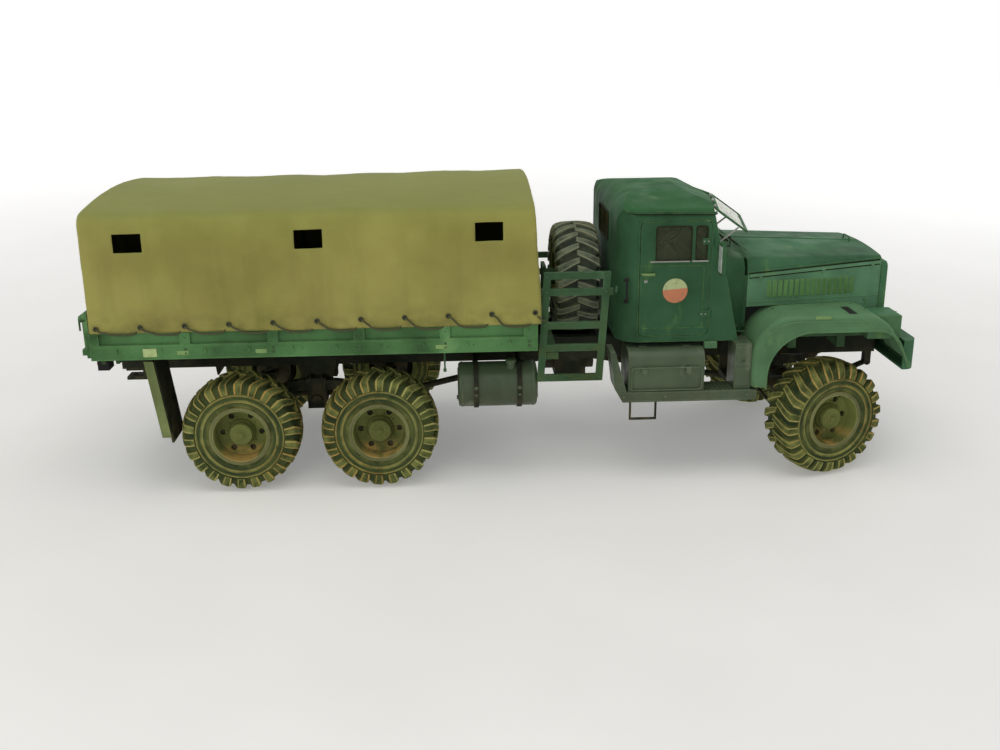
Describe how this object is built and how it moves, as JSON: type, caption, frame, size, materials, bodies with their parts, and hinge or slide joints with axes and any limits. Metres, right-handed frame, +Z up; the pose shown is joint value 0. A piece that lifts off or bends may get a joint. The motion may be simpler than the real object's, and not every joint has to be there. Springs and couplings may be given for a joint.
{
  "type": "scale model of a six-wheeled army cargo truck",
  "caption": "Scale model of a bonneted army cargo truck with steering front wheels, hinged doors, hood lid and tailgate, and a cloth cover over its bed.",
  "frame": {"origin": "middle of the outline seen from above, on the ground under the tyres", "axes": "+X forward along the truck, +Y to its left, +Z up"},
  "size_m": [0.838, 0.2982, 0.2985],
  "materials": {
    "body_green": "satin, dry-brushed edges",
    "bed_green": "matt",
    "carrier_green": "matt",
    "box_grey": "satin, worn edges",
    "chassis_black": "matt",
    "engine_grey": "matt",
    "clear_pane": "clear",
    "seat_brown": "matt",
    "black_plastic": "matt",
    "tyre_rubber": "matt",
    "rim_brown": "dusty",
    "khaki_cloth": "matt",
    "black_rubber": "matt",
    "lamp_lens": "clear",
    "tail_lens": "gloss"
  },
  "bodies": {
    "chassis": {"frame": "chassis_black", "springs": "chassis_black", "rear_axles": "chassis_black", "front_axle": "chassis_black", "driveline": "chassis_black", "engine_block": "engine_grey", "bumper": "body_green", "hood_sides": "body_green", "grille": "body_green", "radiator": "chassis_black", "fender_right": "body_green", "fender_left": "body_green", "cab_shell": "body_green", "windscreen_frames": "body_green", "cab_glass": "clear_pane", "mirrors": "body_green", "seat_frame": "chassis_black", "seat_cushion": "seat_brown", "seat_backrest": "seat_brown", "dashboard": "body_green", "steering_wheel": "black_plastic", "running_boards": "box_grey", "side_boxes": "box_grey", "fuel_tanks": "box_grey", "tank_straps": "chassis_black", "spare_carrier": "carrier_green", "spare_tyre": "tyre_rubber", "spare_rim": "rim_brown", "cargo_bed": "bed_green", "tarp_bows": "bed_green", "tarpaulin": "khaki_cloth", "mud_flaps": "black_rubber", "headlamps": "lamp_lens", "tail_lamps": "tail_lens", "trunnion": "chassis_black", "cross_members": "chassis_black", "bed_bearers": "chassis_black", "board_brackets": "chassis_black"},
    "hood": {"hood_lid": "body_green"},
    "door_right": {"door_right": "body_green", "door_right_glass": "clear_pane"},
    "door_left": {"door_left": "body_green", "door_left_glass": "clear_pane"},
    "tailgate": {"tailgate": "bed_green"},
    "knuckle_right": {"knuckle_right": "chassis_black"},
    "knuckle_left": {"knuckle_left": "chassis_black"},
    "tie_rod": {"tie_rod": "chassis_black"},
    "wheel_front_right": {"tyre_front_right": "tyre_rubber", "rim_front_right": "rim_brown"},
    "wheel_front_left": {"tyre_front_left": "tyre_rubber", "rim_front_left": "rim_brown"},
    "wheel_middle_right": {"tyre_middle_right": "tyre_rubber", "rim_middle_right": "rim_brown"},
    "wheel_middle_left": {"tyre_middle_left": "tyre_rubber", "rim_middle_left": "rim_brown"},
    "wheel_rear_right": {"tyre_rear_right": "tyre_rubber", "rim_rear_right": "rim_brown"},
    "wheel_rear_left": {"tyre_rear_left": "tyre_rubber", "rim_rear_left": "rim_brown"}
  },
  "joints": [
    {"name": "steering_left", "type": "hinge", "parent": "chassis", "child": "knuckle_left", "pos_m": [0.321, 0.0825, 0.06], "axis": [0, 0, 1], "range_deg": [-42, 8]},
    {"name": "steering_right", "type": "hinge", "parent": "chassis", "child": "knuckle_right", "pos_m": [0.321, -0.0825, 0.06], "axis": [0, 0, 1], "range_deg": [-42, 8]},
    {"name": "tie_rod_pivot", "type": "hinge", "parent": "knuckle_left", "child": "tie_rod", "pos_m": [0.29231, 0.07373, 0.0526], "axis": [0, 0, 1], "range_deg": [-8, 42]},
    {"name": "spin_front_right", "type": "hinge", "parent": "knuckle_right", "child": "wheel_front_right", "pos_m": [0.32977, -0.11119, 0.06], "axis": [-0.2924, 0.9563, 0], "continuous": true},
    {"name": "spin_front_left", "type": "hinge", "parent": "knuckle_left", "child": "wheel_front_left", "pos_m": [0.31223, 0.11119, 0.06], "axis": [-0.2924, 0.9563, 0], "continuous": true},
    {"name": "spin_middle_right", "type": "hinge", "parent": "chassis", "child": "wheel_middle_right", "pos_m": [-0.131, -0.1125, 0.06], "axis": [0, 1, 0], "continuous": true},
    {"name": "spin_middle_left", "type": "hinge", "parent": "chassis", "child": "wheel_middle_left", "pos_m": [-0.131, 0.1125, 0.06], "axis": [0, 1, 0], "continuous": true},
    {"name": "spin_rear_right", "type": "hinge", "parent": "chassis", "child": "wheel_rear_right", "pos_m": [-0.271, -0.1125, 0.06], "axis": [0, 1, 0], "continuous": true},
    {"name": "spin_rear_left", "type": "hinge", "parent": "chassis", "child": "wheel_rear_left", "pos_m": [-0.271, 0.1125, 0.06], "axis": [0, 1, 0], "continuous": true},
    {"name": "door_right_hinge", "type": "hinge", "parent": "chassis", "child": "door_right", "pos_m": [0.2035, -0.1168, 0.209], "axis": [0, 0, 1], "range_deg": [0, 65]},
    {"name": "door_left_hinge", "type": "hinge", "parent": "chassis", "child": "door_left", "pos_m": [0.2035, 0.1168, 0.209], "axis": [0, 0, -1], "range_deg": [0, 65]},
    {"name": "tailgate_hinge", "type": "hinge", "parent": "chassis", "child": "tailgate", "pos_m": [-0.4093, 0, 0.1458], "axis": [0, -1, 0], "range_deg": [0, 90]},
    {"name": "hood_hinge", "type": "hinge", "parent": "chassis", "child": "hood", "pos_m": [0.247, 0, 0.2295], "axis": [0, -1, 0], "range_deg": [0, 55]}
  ],
  "couplings": [
    {"joint": "steering_right", "follows": "steering_left", "ratio": 1},
    {"joint": "tie_rod_pivot", "follows": "steering_left", "ratio": -1}
  ]
}
